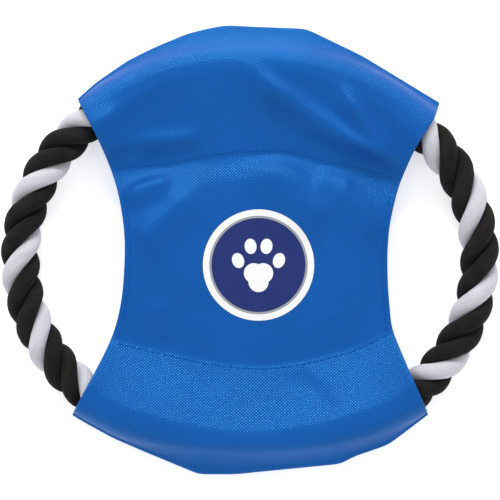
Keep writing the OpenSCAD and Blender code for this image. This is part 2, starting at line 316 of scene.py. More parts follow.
# Soft-spun cotton yarn, carded and laid without wax: matt, fleecy, with fine streaks along the
# yarns and a pale rim of loose fibre where it turns away.
def cotton(base, streak, rim, sheen):
    def build(tree, shader):
        place = put(tree, "ShaderNodeUVMap", uv_map="strand_uv").outputs[0]
        solid = put(tree, "ShaderNodeTexCoord").outputs["Object"]
        # Yarns run along the strand and round it: the streaks are drawn out twelve to one.
        yarns = put(
            tree,
            "ShaderNodeMapping",
            {"Vector": place, "Rotation": (0, 0, 0.32), "Scale": (120.0, 1400.0, 1.0)},
        )
        streaks = put(
            tree, "ShaderNodeTexNoise", {"Vector": yarns.outputs[0], "Scale": 1.0, "Detail": 4.0}
        )
        felt = put(
            tree,
            "ShaderNodeTexNoise",
            {"Vector": solid, "Scale": 2600.0, "Detail": 3.0, "Roughness": 0.6},
        )
        patch = put(tree, "ShaderNodeTexNoise", {"Vector": solid, "Scale": 110.0, "Detail": 2.0})
        mixed = put(
            tree,
            "ShaderNodeMapRange",
            {"Value": streaks.outputs[0], "From Min": 0.35, "From Max": 0.65},
        )
        tone = put(
            tree,
            "ShaderNodeMix",
            {0: mixed.outputs[0], 6: linear(base), 7: linear(streak)},
            data_type="RGBA",
        )
        amount = put(
            tree,
            "ShaderNodeMapRange",
            {"Value": patch.outputs[0], "From Min": 0.4, "From Max": 0.75, "To Max": 0.45},
        )
        final = put(
            tree,
            "ShaderNodeMix",
            {0: amount.outputs[0], 6: tone.outputs[2], 7: linear(rim)},
            data_type="RGBA",
        )
        tree.links.new(final.outputs[2], shader.inputs["Base Color"])
        relief = put(
            tree,
            "ShaderNodeMath",
            {0: streaks.outputs[0], 1: felt.outputs[0]},
            operation="ADD",
        )
        bump = put(
            tree,
            "ShaderNodeBump",
            {"Strength": 0.9, "Distance": 0.00025, "Height": relief.outputs[0]},
        )
        tree.links.new(bump.outputs[0], shader.inputs["Normal"])
        shader.inputs["Roughness"].default_value = 0.92
        shader.inputs["Specular IOR Level"].default_value = 0.2
        shader.inputs["Sheen Weight"].default_value = sheen
        shader.inputs["Sheen Roughness"].default_value = 0.6
        shader.inputs["Sheen Tint"].default_value = linear(rim)

    return build


white_cotton = finish_material(
    "cotton_strand_white", cotton("#cecdd5", "#bebdc6", "#dad9df", 0.22)
)
black_cotton = finish_material(
    "cotton_strand_black", cotton("#1d1c1b", "#0c0c0c", "#2a2927", 0.1)
)


# Bonded polyester thread: a tight three-ply twist, a little glossier than the cloth it sits on.
def thread(base, ply):
    def build(tree, shader):
        solid = put(tree, "ShaderNodeTexCoord").outputs["Object"]
        twist = put(
            tree,
            "ShaderNodeTexWave",
            {"Vector": solid, "Scale": 900.0, "Distortion": 1.5},
            bands_direction="DIAGONAL",
        )
        tone = put(
            tree,
            "ShaderNodeMix",
            {0: twist.outputs[1], 6: linear(base), 7: linear(ply)},
            data_type="RGBA",
        )
        tree.links.new(tone.outputs[2], shader.inputs["Base Color"])
        bump = put(
            tree,
            "ShaderNodeBump",
            {"Strength": 0.5, "Distance": 0.00008, "Height": twist.outputs[1]},
        )
        tree.links.new(bump.outputs[0], shader.inputs["Normal"])
        shader.inputs["Roughness"].default_value = 0.6
        shader.inputs["IOR"].default_value = 1.57
        shader.inputs["Specular IOR Level"].default_value = 0.25
        shader.inputs["Specular Tint"].default_value = linear("#50c4f0")

    return build


blue_thread = finish_material("polyester_thread_blue", thread("#0d4f9f", "#1a60b4"))


# Heat-transfer print: a thin flexible film pressed into the weave, so the yarns show through it
# as a faint grain, with a low even gloss.
def transfer_print(base, worn, roughness):
    def build(tree, shader):
        place = put(tree, "ShaderNodeUVMap", uv_map="cloth_uv").outputs[0]
        split = put(tree, "ShaderNodeSeparateXYZ", {0: place})
        waves = []
        for axis in (0, 1):
            turn = put(
                tree,
                "ShaderNodeMath",
                {0: split.outputs[axis], 1: math.pi / (YARN * MM)},
                operation="MULTIPLY",
            )
            waves.append(put(tree, "ShaderNodeMath", {0: turn.outputs[0]}, operation="SINE"))
        crossing = put(
            tree,
            "ShaderNodeMath",
            {0: waves[0].outputs[0], 1: waves[1].outputs[0]},
            operation="MULTIPLY",
        )
        cloud = put(tree, "ShaderNodeTexNoise", {"Vector": place, "Scale": 160.0, "Detail": 4.0})
        wear = put(
            tree,
            "ShaderNodeMapRange",
            {"Value": cloud.outputs[0], "From Min": 0.45, "From Max": 0.75, "To Max": 0.35},
        )
        tone = put(
            tree,
            "ShaderNodeMix",
            {0: wear.outputs[0], 6: linear(base), 7: linear(worn)},
            data_type="RGBA",
        )
        tree.links.new(tone.outputs[2], shader.inputs["Base Color"])
        bump = put(
            tree,
            "ShaderNodeBump",
            {"Strength": 0.25, "Distance": 0.00008, "Height": crossing.outputs[0]},
        )
        tree.links.new(bump.outputs[0], shader.inputs["Normal"])
        gloss = put(
            tree,
            "ShaderNodeMapRange",
            {"Value": cloud.outputs[0], "To Min": roughness - 0.08, "To Max": roughness + 0.08},
        )
        tree.links.new(gloss.outputs[0], shader.inputs["Roughness"])
        shader.inputs["IOR"].default_value = 1.49
        shader.inputs["Specular IOR Level"].default_value = 0.3

    return build


white_print = finish_material("transfer_print_white", transfer_print("#ecedef", "#dfe0e3", 0.5))
grey_print = finish_material("transfer_print_grey", transfer_print("#9b9ca0", "#8c8d91", 0.45))
navy_print = finish_material("transfer_print_navy", transfer_print("#12276a", "#193072", 0.5))


# Woven cotton binding tape and matt polyolefin shrink tube, both out of sight inside the pocket
def wound(base, worn, roughness, grain):
    def build(tree, shader):
        solid = put(tree, "ShaderNodeTexCoord").outputs["Object"]
        noise = put(tree, "ShaderNodeTexNoise", {"Vector": solid, "Scale": grain, "Detail": 4.0})
        tone = put(
            tree,
            "ShaderNodeMix",
            {0: noise.outputs[0], 6: linear(base), 7: linear(worn)},
            data_type="RGBA",
        )
        tree.links.new(tone.outputs[2], shader.inputs["Base Color"])
        bump = put(
            tree,
            "ShaderNodeBump",
            {"Strength": 0.4, "Distance": 0.0001, "Height": noise.outputs[0]},
        )
        tree.links.new(bump.outputs[0], shader.inputs["Normal"])
        shader.inputs["Roughness"].default_value = roughness

    return build


tape_finish = finish_material("binding_tape_woven", wound("#b9b7b0", "#a3a19a", 0.8, 1500.0))
sleeve_finish = finish_material("shrink_tube_matt", wound("#3a3a3b", "#2c2c2d", 0.5, 400.0))
for name, finish in (
    ("end_tape_left", tape_finish),
    ("end_tape_right", tape_finish),
    ("join_sleeve", sleeve_finish),
):
    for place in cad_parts[name].material_slots:
        place.material = finish

# ---------------------------------------------------------------- Geometry Nodes: strands


def new_tree(name, sizes):
    """A Geometry Nodes tree with named inputs, and its input and output nodes."""
    tree = bpy.data.node_groups.new(name, "GeometryNodeTree")
    tree.interface.new_socket(
        name="Geometry", in_out="INPUT", socket_type="NodeSocketGeometry"
    )
    for label, kind in sizes:
        tree.interface.new_socket(name=label, in_out="INPUT", socket_type=kind)
    tree.interface.new_socket(
        name="Geometry", in_out="OUTPUT", socket_type="NodeSocketGeometry"
    )
    return tree, tree.nodes.new("NodeGroupInput").outputs, tree.nodes.new("NodeGroupOutput")


def run_tree(tree, name, points, values, laps=None):
    """Runs a tree on a line of points in mm, and returns the result as a plain mesh object."""
    line = bpy.data.meshes.new(name + "_line")
    edges = [(i, i + 1) for i in range(len(points) - 1)]
    line.from_pydata((np.asarray(points) * MM).tolist(), edges, [])
    if laps is not None:
        line.attributes.new("laps", "FLOAT", "POINT").data.foreach_set("value", laps)
    source = bpy.data.objects.new(name + "_line", line)
    bpy.context.scene.collection.objects.link(source)
    modifier = source.modifiers.new("make", "NODES")
    modifier.node_group = tree
    sockets = {
        item.name: item.identifier
        for item in tree.interface.items_tree
        if item.item_type == "SOCKET" and item.in_out == "INPUT"
    }
    for label, value in values.items():
        modifier[sockets[label]] = value
    source.update_tag()
    shown = source.evaluated_get(bpy.context.evaluated_depsgraph_get())
    mesh = bpy.data.meshes.new_from_object(shown)
    mesh.name = name
    source.modifiers.clear()
    bpy.data.objects.remove(source)
    bpy.data.meshes.remove(line)
    piece = bpy.data.objects.new(name, mesh)
    bpy.context.scene.collection.objects.link(piece)
    return piece


def strand_tree():
    """A strand with the section of a soft three-strand rope: a round crown on a wedge that meets
    its neighbours, swept along the rope's line as it turns once in each lay, with loose fibres."""
    sizes = [
        ("Lay Start", "NodeSocketFloat"),
        ("Crown Centre", "NodeSocketFloat"),
        ("Crown Height", "NodeSocketFloat"),
        ("Crown Width", "NodeSocketFloat"),
        ("Wedge", "NodeSocketFloat"),
        ("Rings", "NodeSocketInt"),
        ("Sides", "NodeSocketInt"),
        ("Lumps", "NodeSocketFloat"),
        ("Fibre Length", "NodeSocketFloat"),
        ("Fibre Radius", "NodeSocketFloat"),
        ("Fibre Density", "NodeSocketFloat"),
        ("Fibre Top", "NodeSocketFloat"),
        ("Fibre Bottom", "NodeSocketFloat"),
        ("Seed", "NodeSocketInt"),
        ("Finish", "NodeSocketMaterial"),
    ]
    tree, given, result = new_tree("lay_strand", sizes)
    line = put(tree, "GeometryNodeMeshToCurve", {0: given["Geometry"]})
    even = put(
        tree, "GeometryNodeResampleCurve", {0: line.outputs[0], "Count": given["Rings"]}
    )
    upright = put(tree, "GeometryNodeSetCurveNormal", {0: even.outputs[0]}, mode="Z_UP")
    spline = put(tree, "GeometryNodeSplineParameter")
    laps = put(tree, "GeometryNodeInputNamedAttribute", {"Name": "laps"}, data_type="FLOAT")
    turned = put(
        tree, "ShaderNodeMath", {0: laps.outputs[0], 1: 2 * math.pi}, operation="MULTIPLY"
    )
    tilt = put(
        tree,
        "ShaderNodeMath",
        {0: turned.outputs[0], 1: given["Lay Start"]},
        operation="SUBTRACT",
    )
    tilted = put(
        tree,
        "GeometryNodeSetCurveTilt",
        {0: upright.outputs[0], "Tilt": tilt.outputs[0]},
    )
    run = put(tree, "GeometryNodeCaptureAttribute", {0: tilted.outputs[0]})
    run.capture_items.new("FLOAT", "Run")
    tree.links.new(spline.outputs["Length"], run.inputs[1])

    # The section: an ellipse, held between the two sides of its wedge
    circle = put(
        tree, "GeometryNodeCurvePrimitiveCircle", {"Resolution": given["Sides"], "Radius": 1.0}
    )
    around = put(tree, "GeometryNodeCaptureAttribute", {0: circle.outputs[0]})
    around.capture_items.new("FLOAT", "Around")
    spot = put(tree, "GeometryNodeSplineParameter")
    tree.links.new(spot.outputs["Factor"], around.inputs[1])
    place = put(tree, "GeometryNodeInputPosition")
    corner = put(tree, "ShaderNodeSeparateXYZ", {0: place.outputs[0]})
    rise = put(
        tree,
        "ShaderNodeMath",
        {0: corner.outputs[0], 1: given["Crown Height"]},
        operation="MULTIPLY",
    )
    # The circle starts at its inner side, where the strand's seam stays out of sight.
    out = put(
        tree,
        "ShaderNodeMath",
        {0: given["Crown Centre"], 1: rise.outputs[0]},
        operation="SUBTRACT",
    )
    wide = put(
        tree,
        "ShaderNodeMath",
        {0: corner.outputs[1], 1: given["Crown Width"]},
        operation="MULTIPLY",
    )
    limit = put(
        tree,
        "ShaderNodeMath",
        {0: out.outputs[0], 1: given["Wedge"]},
        operation="MULTIPLY",
    )
    below = put(
        tree, "ShaderNodeMath", {0: wide.outputs[0], 1: limit.outputs[0]}, operation="MINIMUM"
    )
    negative = put(
        tree, "ShaderNodeMath", {0: limit.outputs[0], 1: -1.0}, operation="MULTIPLY"
    )
    across = put(
        tree, "ShaderNodeMath", {0: below.outputs[0], 1: negative.outputs[0]}, operation="MAXIMUM"
    )
    shaped = put(
        tree,
        "ShaderNodeCombineXYZ",
        {0: out.outputs[0], 1: across.outputs[0]},
    )
    section = put(
        tree,
        "GeometryNodeSetPosition",
        {0: around.outputs[0], "Position": shaped.outputs[0]},
    )
    body = put(
        tree,
        "GeometryNodeCurveToMesh",
        {0: run.outputs[0], 1: section.outputs[0], "Fill Caps": True},
    )
    # Soft yarns give an uneven surface.
    normal = put(tree, "GeometryNodeInputNormal")
    lumps = put(tree, "ShaderNodeTexNoise", {"Scale": 330.0, "Detail": 3.0})
    centred = put(
        tree, "ShaderNodeMath", {0: lumps.outputs[0], 1: 0.5}, operation="SUBTRACT"
    )
    deep = put(
        tree,
        "ShaderNodeMath",
        {0: centred.outputs[0], 1: given["Lumps"]},
        operation="MULTIPLY",
    )
    offset = put(
        tree,
        "ShaderNodeVectorMath",
        {0: normal.outputs[0], "Scale": deep.outputs[0]},
        operation="SCALE",
    )
    lumpy = put(
        tree, "GeometryNodeSetPosition", {0: body.outputs[0], "Offset": offset.outputs[0]}
    )
    girth = put(
        tree,
        "ShaderNodeMath",
        {0: around.outputs[1], 1: 2 * math.pi * 0.0043},
        operation="MULTIPLY",
    )
    where = put(tree, "ShaderNodeCombineXYZ", {0: run.outputs[1], 1: girth.outputs[0]})
    marked = put(
        tree,
        "GeometryNodeStoreNamedAttribute",
        {0: lumpy.outputs[0], "Name": "strand_uv", "Value": where.outputs[0]},
        data_type="FLOAT2",
        domain="CORNER",
    )
    soft = put(tree, "GeometryNodeSetShadeSmooth", {0: marked.outputs[0]})

    # Loose fibres stand on the part of the strand that shows.
    on_strand = put(tree, "GeometryNodeInputPosition")
    height = put(tree, "ShaderNodeSeparateXYZ", {0: on_strand.outputs[0]})
    under = put(
        tree,
        "FunctionNodeCompare",
        {0: height.outputs[1], 1: given["Fibre Top"]},
        operation="LESS_THAN",
    )
    over = put(
        tree,
        "FunctionNodeCompare",
        {0: height.outputs[1], 1: given["Fibre Bottom"]},
        operation="GREATER_THAN",
    )
    shown = put(
        tree,
        "FunctionNodeBooleanMath",
        {0: under.outputs[0], 1: over.outputs[0]},
        operation="AND",
    )
    roots = put(
        tree,
        "GeometryNodeDistributePointsOnFaces",
        {
            0: soft.outputs[0],
            "Selection": shown.outputs[0],
            "Density": given["Fibre Density"],
            "Seed": given["Seed"],
        },
    )
    fibre = put(
        tree,
        "GeometryNodeMeshCone",
        {
            "Vertices": 3,
            "Radius Top": 0.0,
            "Radius Bottom": given["Fibre Radius"],
            "Depth": given["Fibre Length"],
        },
    )
    lean = put(
        tree,
        "FunctionNodeRandomValue",
        {0: (-1.0, -1.0, -1.0), 1: (1.0, 1.0, 1.0), "Seed": given["Seed"]},
        data_type="FLOAT_VECTOR",
    )
    aimed = put(
        tree,
        "ShaderNodeVectorMath",
        {0: roots.outputs["Normal"], 1: (0.55, 0.55, 0.55), 2: lean.outputs[0]},
        operation="MULTIPLY_ADD",
    )
    facing = put(
        tree, "FunctionNodeAlignRotationToVector", {"Vector": aimed.outputs[0]}, axis="Z"
    )
    size = put(
        tree,
        "FunctionNodeRandomValue",
        {2: 0.35, 3: 1.0, "Seed": given["Seed"]},
        data_type="FLOAT",
    )
    fleece = put(
        tree,
        "GeometryNodeInstanceOnPoints",
        {
            0: roots.outputs[0],
            "Instance": fibre.outputs[0],
            "Rotation": facing.outputs[0],
            "Scale": size.outputs[1],
        },
    )
    both = put(tree, "GeometryNodeJoinGeometry", {0: soft.outputs[0]})
    tree.links.new(fleece.outputs[0], both.inputs[0])
    real = put(tree, "GeometryNodeRealizeInstances", {0: both.outputs[0]})
    painted = put(
        tree,
        "GeometryNodeSetMaterial",
        {0: real.outputs[0], "Material": given["Finish"]},
    )
    tree.links.new(painted.outputs[0], result.inputs[0])
    return tree


lay_strand = strand_tree()
centre_line = rope_line(1601)
rope_length = sum(r * (end - start) for _, _, r, start, end in ARCS)
at_points = np.linspace(JOIN_GAP / 2, rope_length - JOIN_GAP / 2, len(centre_line))
laps = np.interp(at_points, *zip(*LAY_OPENING))
strands = {
    "strand_white": ("laid_strand_white", 0, white_cotton),
    "strand_black_a": ("laid_strand_black_a", 1, black_cotton),
    "strand_black_b": ("laid_strand_black_b", 2, black_cotton),
}
for node_name, (name, index, finish) in strands.items():
    piece = run_tree(
        lay_strand,
        name,
        centre_line,
        {
            "Lay Start": LAY_START + index * 2 * math.pi / 3,
            "Crown Centre": 4.75 * MM,
            "Crown Height": 4.22 * MM,
            "Crown Width": 5.15 * MM,
            "Wedge": math.tan(math.radians(59.4)),
            "Rings": 1300,
            "Sides": 30,
            "Lumps": 0.3 * MM,
            "Fibre Length": 1.1 * MM,
            "Fibre Radius": 0.045 * MM,
            "Fibre Density": 1.6e6,
            "Fibre Top": 46 * MM,
            "Fibre Bottom": -52 * MM,
            "Seed": 11 + index,
            "Finish": finish,
        },
        laps,
    )
    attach(piece, "rope_ring")
    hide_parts(node_name)

# ---------------------------------------------------------------- the cloth's lines in plan, in mm

# The two folds, from the left corner to the right one. The cloth is stiff, so each fold breaks
# into a few straight runs.
TOP_FOLD = eased([
    (-78.9, 69.3), (-70.7, 76.7), (-56.0, 86.8), (-45.0, 92.3), (-28.9, 99.1), (-19.7, 101.4),
    (-11.0, 103.0), (0, 102.4), (25.7, 101.4), (51.4, 89.0), (86.8, 67.5),
], soften=5.0)
BOTTOM_FOLD = eased([
    (-81.4, -75.7), (-75.8, -79.1), (-62.8, -86.2), (-49.4, -92.0), (-23.4, -102.8),
    (-6.4, -102.8), (0, -102.1), (41.8, -98.0), (46.8, -95.0), (63.3, -89.3), (73.8, -81.4),
    (81.6, -75.5),
], soften=5.0)
# The two hemmed sides, from the top corner to the bottom one
LEFT_SIDE = eased([
    (-78.9, 69.3), (-69.0, 50.9), (-60.6, 29.1), (-57.6, 12.4), (-56.9, 0), (-58.3, -22.0),
    (-62.0, -38.1), (-71.1, -56.9), (-81.4, -75.7),
], soften=14.0)
RIGHT_SIDE = eased([
    (86.8, 67.5), (85.4, 62.0), (75.3, 47.0), (67.7, 28.5), (63.8, 12.4), (62.7, 0),
    (62.9, -14.7), (64.7, -35.8), (73.0, -56.5), (81.6, -75.5),
], soften=9.0)
# The two seams, from the left side to the right one
TOP_SEAM = eased([
    (-64.0, 37.4), (-56.5, 38.1), (-38.1, 39.0), (-23.0, 42.2), (-7.8, 44.3), (7.8, 45.0),
    (18.4, 45.0), (32.1, 40.6), (45.9, 38.0), (61.0, 33.5), (69.0, 31.5),
], soften=12.0)
BOTTOM_SEAM = eased([
    (-63.5, -41.5), (-50.5, -44.5), (-38.1, -47.5), (-17.0, -52.0), (4.6, -54.2), (23.0, -52.2),
    (45.9, -46.6), (61.0, -39.6), (66.5, -37.0),
], soften=12.0)


def side_x(side, y):
    """Where a hemmed side stands at height y in plan."""
    return np.interp(y, side[::-1, 1], side[::-1, 0])


def loft(first, last, u, w):
    """Plan points of a zone between two cross lines, kept to the cloth's two sides."""
    u, w = u[None, :, None], w[:, :, None]
    plain = along(first, u[0, :, 0])[None] * (1 - w) + along(last, u[0, :, 0])[None] * w
    for side, line, share in ((0, LEFT_SIDE, 1 - u), (-1, RIGHT_SIDE, u)):
        y = first[side][1] * (1 - w[:, side]) + last[side][1] * w[:, side]
        fix = side_x(line, y[:, 0]) - plain[:, side, 0]
        plain[:, :, 0] += fix[:, None] * share[:, :, 0] ** 3
    return plain


# ---------------------------------------------------------------- how high the cloth lies

CLOTH = 0.45
NOSE = 1.0
SEAM_RISE = 0.23


def contact_angle(radius, width, end, share):
    """Angle from the top at which cloth leaves a round of this radius, on its way to a place
    that is width out and end high, when its slope eases to 2 * share - 1 of what it was."""
    low, high = np.zeros_like(width), np.full_like(width, 1.5)
    for _ in range(30):
        mid = (low + high) / 2
        over = share * np.tan(mid) * (width - radius * np.sin(mid)) > radius * np.cos(mid) - end
        low, high = np.where(over, low, mid), np.where(over, mid, high)
    return low


def slope_down(a, radius, width, end, share):
    """Height of the cloth at a distance a from the crest: round the rope, then down to its end."""
    beta = contact_angle(radius, width, end, share)
    contact, top, steep = radius * np.sin(beta), radius * np.cos(beta), np.tan(beta)
    round_part = np.sqrt(np.maximum(radius**2 - np.minimum(a, contact) ** 2, 0))
    x = np.clip((a - contact) / np.maximum(width - contact, 1e-3), 0, 1)
    span = width - contact
    fall = top + (end - top) * (3 * x**2 - 2 * x**3)
    fall += span * -steep * (x**3 - 2 * x**2 + x)
    fall += span * -steep * (2 * share - 1) * (x**3 - x**2)
    return np.where(a <= contact, round_part, fall)


def cover_height(plan, fold, seam, u, edge):
    """Height over the middle plane of a pocket's layer at plan points."""
    x, y = plan[..., 0], plan[..., 1]
    d = rope_distance(x, y)
    slack = 0.25 + 1.2 * smooth_step(np.abs(x) / 45)
    radius = 10.05 + 0.7 * np.exp(-((edge / 6.0) ** 2))
    fold_line, seam_line = along(fold, u), along(seam, u)
    out_width = rope_distance(fold_line[:, 0], fold_line[:, 1])[None] - NOSE
    in_width = -rope_distance(seam_line[:, 0], seam_line[:, 1])[None] + 0 * d
    out_width = np.maximum(out_width - slack, radius + 0.35)
    in_width = in_width - slack
    a = np.maximum(np.abs(d) - slack, 0)
    outer = slope_down(a, radius, out_width + 0 * d, NOSE, 0.62)
    inner = slope_down(a, radius, in_width, SEAM_RISE, 0.93)
    return np.where(d > 0, outer, inner)


# Soft folds in the cloth: start, end, half width and height, in mm
FOLDS = [
    ((3, 80), (60, 40), 4.0, 4.6),
    ((43, 71), (67, 38), 3.4, 4.6),
    ((-52, 49), (-24, 50), 5.0, 2.8),
    ((-67, 64), (-59, 44), 6.0, 2.2),
    ((-57, 25), (-38, 34), 3.6, 4.0),
    ((-53, 4), (-27, 26), 5.5, 4.6),
    ((8, 46), (33, 12), 8.0, 3.6),
    ((31, 35), (46, 33), 4.0, 2.2),
    ((42, 30), (60, 6), 5.0, 2.4),
    ((-54, 4), (-49, -8), 5.0, 0.7),
    ((-41, -24), (-37, -42), 4.0, 0.8),
    ((-23, -30), (-20, -47), 4.0, 0.8),
    ((5, -38), (8, -52), 5.0, 0.6),
    ((36, -28), (44, -42), 5.0, 0.6),
    ((20, -54), (37, -74), 4.5, -0.9),
]


def fold_relief(x, y):
    """How far the soft folds lift the cloth."""
    lift = np.zeros_like(x)
    for start, end, half_width, height in FOLDS:
        start, end = np.array(start, float), np.array(end, float)
        run = end - start
        length = np.hypot(*run)
        t = ((x - start[0]) * run[0] + (y - start[1]) * run[1]) / length**2
        off = ((x - start[0]) * run[1] - (y - start[1]) * run[0]) / length
        lengthwise = np.exp(-((np.maximum(np.abs(t - 0.5) - 0.3, 0) / 0.22) ** 2))
        # Each fold leans over: steep on its upper side, drawn out on its lower one.
        flank = np.where(off < 0, half_width, 2.1 * half_width)
        lift += height * lengthwise * np.exp(-((off / flank) ** 2))
    return lift


def ripple(x, y, seed):
    """Low uneven waves, a few centimetres long, that no cut cloth is without."""
    draw = np.random.default_rng(seed)
    lift = np.zeros_like(x)
    for _ in range(14):
        angle, phase = draw.uniform(0, 2 * np.pi), draw.uniform(0, 2 * np.pi)
        length = draw.uniform(14, 60)
        lift += length / 60 * np.sin(
            2 * np.pi * (x * np.cos(angle) + y * np.sin(angle)) / length + phase
        )
    return lift / 6


def pucker(distance, run, seed):
    """Gathers that a tight row of stitches draws into the cloth beside it."""
    draw = np.random.default_rng(seed)
    lift = np.zeros_like(run)
    for length in (5.5, 8.3, 13.0):
        lift += np.sin(2 * np.pi * run / length + draw.uniform(0, 6.3)) / 3
    return lift * np.exp(-((distance / 4.5) ** 2))


# ---------------------------------------------------------------- the sheet

FINE = 361
fine_u = np.linspace(0, 1, FINE)
fold_turns = np.linspace(0, math.pi / 2, 5)


def pocket_zone(fold, seam, rows, upper):
    """Plan and height of one layer of a pocket, from the tip of its fold to its seam."""
    gap = np.hypot(*(along(seam, fine_u) - along(fold, fine_u)).T)
    tip = NOSE * (1 - np.cos(fold_turns))[:, None] / gap[None]
    rest = tip[-1][None] + (1 - tip[-1][None]) * np.linspace(0, 1, rows + 1)[1:, None]
    w = np.concatenate([tip, rest])
    plan = loft(fold, seam, fine_u, w)
    width = np.hypot(*(plan[:, -1] - plan[:, 0]).T)[:, None]
    edge = np.minimum(fine_u, 1 - fine_u)[None] * width
    height = cover_height(plan, fold, seam, fine_u, edge)
    nose = np.concatenate([NOSE * np.sin(fold_turns), np.full(rows, 1e3)])[:, None]
    height = np.where(nose < 1e2, nose + 0 * height, height)
    inward = np.concatenate([np.zeros(5), np.linspace(0, 1, rows + 1)[1:]])[:, None]
    calm = smooth_step(inward * 4) * (0.35 + 0.65 * smooth_step(inward * 2.5))
    x, y = plan[..., 0], plan[..., 1]
    seam_off = np.abs(w - 1) * gap[None]
    run = fine_u[None] * width
    if upper:
        # The seam holds the folds down.
        height = height + calm * smooth_step(seam_off / 13) * np.maximum(fold_relief(x, y), -0.9)
        height = height + calm * 0.18 * (ripple(x, y, 5) + 0.6)
        drawn_in = 0.28 * (1 + pucker(seam_off, run, 7))
        height = height + drawn_in * np.exp(-((seam_off / 4) ** 2)) * 0.6
    else:
        height = -(height + calm * 0.2 * (ripple(x, y, 9) + 0.6))
    return np.concatenate([plan, height[..., None]], axis=-1)


def panel_zone(rows):
    """The single layer between the seams: held down at both, and slightly full between them."""
    w = np.repeat(np.linspace(0, 1, rows + 1)[1:-1, None], FINE, axis=1)
    plan = loft(TOP_SEAM, BOTTOM_SEAM, fine_u, w)
    x, y = plan[..., 0], plan[..., 1]
    gap = np.hypot(*(along(TOP_SEAM, fine_u) - along(BOTTOM_SEAM, fine_u)).T)[None]
    from_top, from_bottom = w * gap, (1 - w) * gap
    near = np.minimum(from_top, from_bottom)
    width = np.hypot(*(plan[:, -1] - plan[:, 0]).T)[:, None]
    edge = np.minimum(fine_u, 1 - fine_u)[None] * width
    held = smooth_step(near / 9)
    flat_edge = 0.35 + 0.65 * smooth_step(edge / 12)
    height = SEAM_RISE + 2.2 * smooth_step(from_top / 14) * smooth_step(from_bottom / 40)
    height = height + held * flat_edge * (fold_relief(x, y) + 0.32 * ripple(x, y, 3))
    run = fine_u[None] * width
    height = height + 0.17 * pucker(near, run, 7) * smooth_step(near / 2)
    return np.concatenate([plan, height[..., None]], axis=-1)


top_back = pocket_zone(TOP_FOLD, TOP_SEAM, 34, False)
top_front = pocket_zone(TOP_FOLD, TOP_SEAM, 58, True)
panel = panel_zone(92)
bottom_front = pocket_zone(BOTTOM_FOLD, BOTTOM_SEAM, 58, True)
bottom_back = pocket_zone(BOTTOM_FOLD, BOTTOM_SEAM, 34, False)


# How far the turned edge runs past its seam, in two steps, and how low it and the back lie
RAW_EDGE_STEPS = (1.3, 2.8)
RAW_EDGE_Z = -0.28
BACK_SEAM_Z = -0.27


def turned_in(back, along_y):
    """The back layer runs a little past its seam, where its raw edge is turned under."""
    ends = []
    for step in RAW_EDGE_STEPS:
        row = back[-1].copy()
        row[:, 1] -= along_y * step
        left, right = side_x(LEFT_SIDE, row[0, 1]), side_x(RIGHT_SIDE, row[-1, 1])
        row[:, 0] = left + (row[:, 0] - row[0, 0]) / (row[-1, 0] - row[0, 0]) * (right - left)
        row[:, 2] = RAW_EDGE_Z
        ends.append(row)
    back = back.copy()
    back[-1, :, 2] = np.minimum(back[-1, :, 2], BACK_SEAM_Z)
    return np.concatenate([back, np.array(ends)])


top_back = turned_in(top_back, 1)
bottom_back = turned_in(bottom_back, -1)
sheet_rows = np.concatenate([
    top_back[::-1], top_front[1:], panel, bottom_front[::-1], bottom_back[1:]
])
sheet_rows[..., 2] += MID_Z
SEAM_ROW_TOP = len(top_back) + len(top_front) - 2
SEAM_ROW_BOTTOM = SEAM_ROW_TOP + len(panel) + 1


def unit(vectors):
    return vectors / np.maximum(np.linalg.norm(vectors, axis=-1, keepdims=True), 1e-9)


def grid_normals(grid):
    """Normals of a grid of points, on the side that shows."""
    down, right = np.gradient(grid, axis=0), np.gradient(grid, axis=1)
    return unit(np.cross(down, right))


sheet_normals = grid_normals(sheet_rows)
# Arc length down every column, counted from the middle of the panel, places the weave.
steps = np.linalg.norm(np.diff(sheet_rows, axis=0), axis=-1)
length_down = np.concatenate([np.zeros((1, FINE)), np.cumsum(steps, axis=0)])
middle_row = (SEAM_ROW_TOP + SEAM_ROW_BOTTOM) // 2
length_down -= length_down[middle_row][None]


def sample(field, row_u):
    """Values of a fine field at the given shares of each row."""
    spot = row_u * (FINE - 1)
    low = np.clip(spot.astype(int), 0, FINE - 2)
    part = spot - low
    rows = np.arange(len(field))[:, None]
    if field.ndim == 3:
        part = part[..., None]
    return field[rows, low] * (1 - part) + field[rows, low + 1] * part


HEM = 5.0
HEM_GAP = 0.25
MAIN_COLUMNS = 104
row_width = np.linalg.norm(sheet_rows[:, -1] - sheet_rows[:, 0], axis=-1)[:, None]


